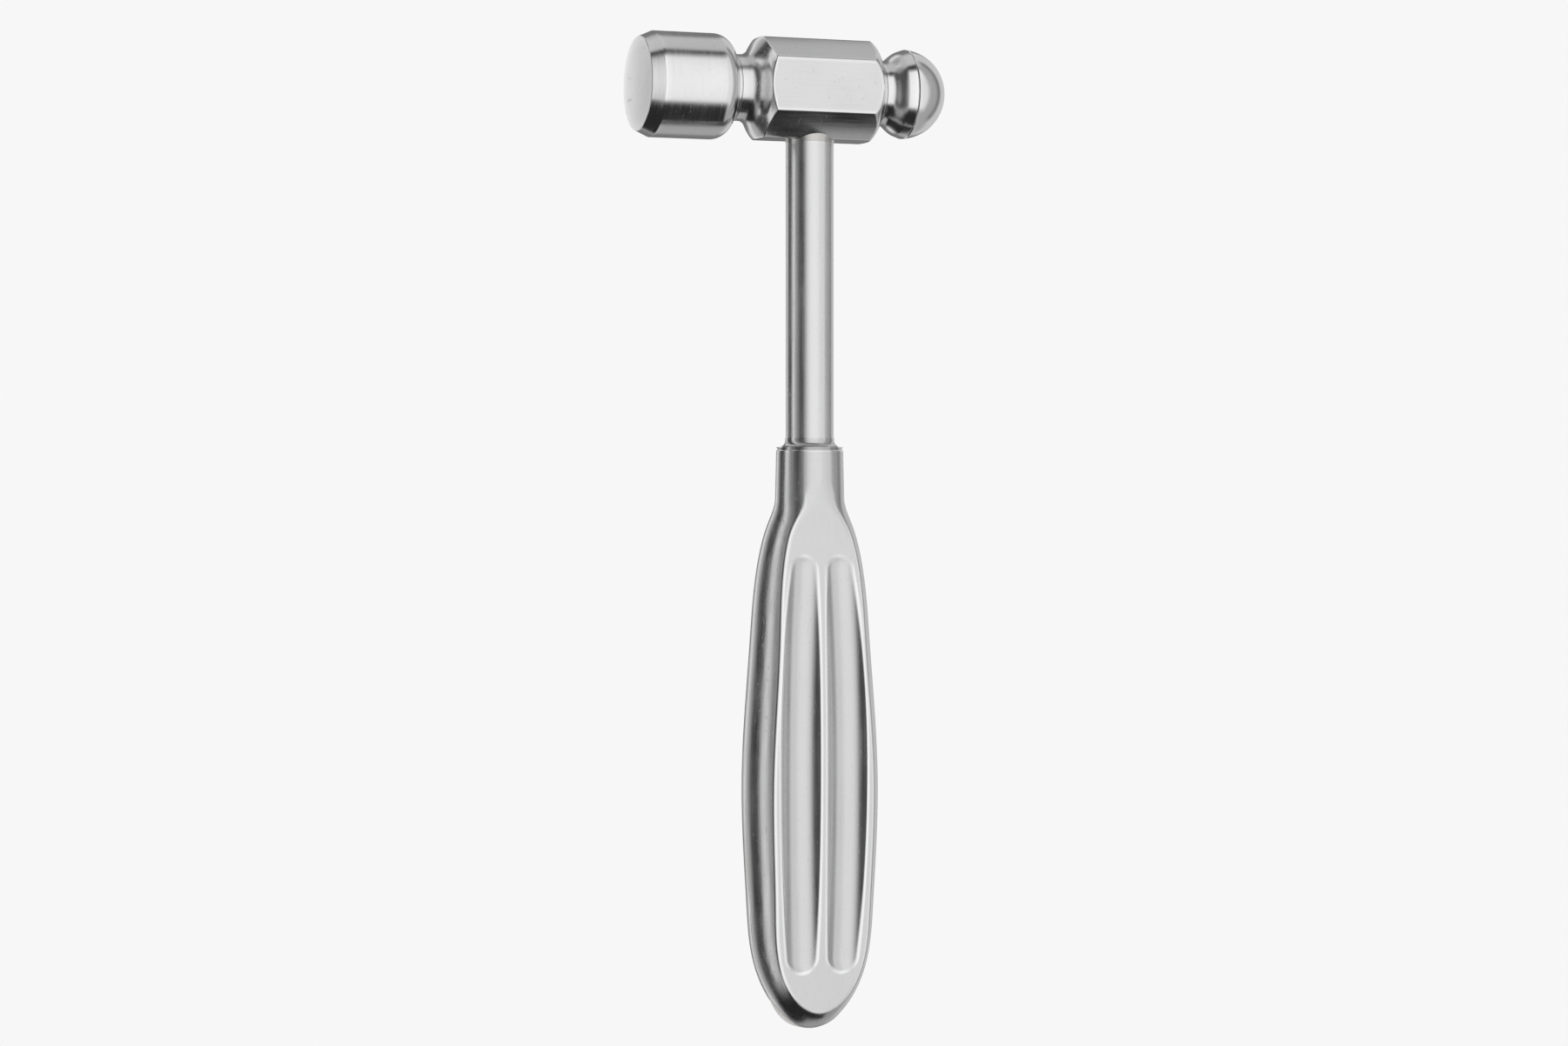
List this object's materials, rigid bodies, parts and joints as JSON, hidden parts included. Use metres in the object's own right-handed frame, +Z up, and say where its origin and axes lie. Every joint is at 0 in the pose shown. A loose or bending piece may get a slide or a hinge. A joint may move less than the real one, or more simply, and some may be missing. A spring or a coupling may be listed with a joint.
{
  "type": "surgical mallet",
  "caption": "All-metal percussion hammer: octagonal head block with a flat-faced drum and a ball pein, round shaft, and a hollow spindle handle with flattened, fluted faces.",
  "frame": {"origin": "on the handle's axis, half way along the flutes, where the hand holds it", "axes": "+Z up the handle towards the head; the head lies along X with the flat face at -X and the ball at +X; the fluted faces look along -Y and +Y"},
  "size_m": [0.0617, 0.02, 0.189],
  "materials": {
    "polished_steel": "polished stainless steel with fine turning and grinding marks",
    "shaft_steel": "fine-ground stainless steel bar",
    "satin_steel": "pressed stainless sheet, satin polished lengthwise",
    "inner_steel": "plain machined stainless steel",
    "braze": "silver braze, dressed flush"
  },
  "bodies": {
    "root": {"striking_drum": "polished_steel", "head_body": "polished_steel", "ball_pein": "polished_steel", "head_pin": "inner_steel", "shaft": "shaft_steel", "head_braze_ring": "braze", "neck_ferrule": "shaft_steel", "tang_washer": "inner_steel", "tang_nut": "inner_steel", "handle_front_shell": "satin_steel", "handle_rear_shell": "satin_steel", "handle_seam_braze": "braze"}
  },
  "joints": []
}
